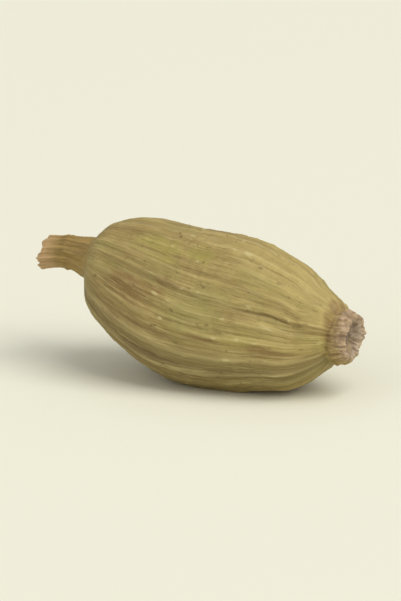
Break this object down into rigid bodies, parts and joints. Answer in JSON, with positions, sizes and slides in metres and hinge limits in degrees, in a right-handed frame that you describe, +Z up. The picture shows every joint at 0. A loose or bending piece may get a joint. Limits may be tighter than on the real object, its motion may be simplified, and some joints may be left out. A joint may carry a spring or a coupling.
{
  "type": "green cardamom pod",
  "caption": "Dried green cardamom pod, a plump three-lobed ribbed capsule with a stub of stalk and a short flower-scar collar, lying on its side.",
  "frame": {"origin": "on the resting plane, under the middle of the pod's box", "axes": "+X runs along the pod from the stalk end to the tip, +Z is up with the pod lying on its side, +Y is to its side"},
  "size_m": [0.0168, 0.0076, 0.0075],
  "materials": {
    "dried_husk": "dry papery capsule wall, matt, olive green to straw, browner at both ends"
  },
  "bodies": {
    "root": {"pod": "dried_husk"}
  },
  "joints": []
}
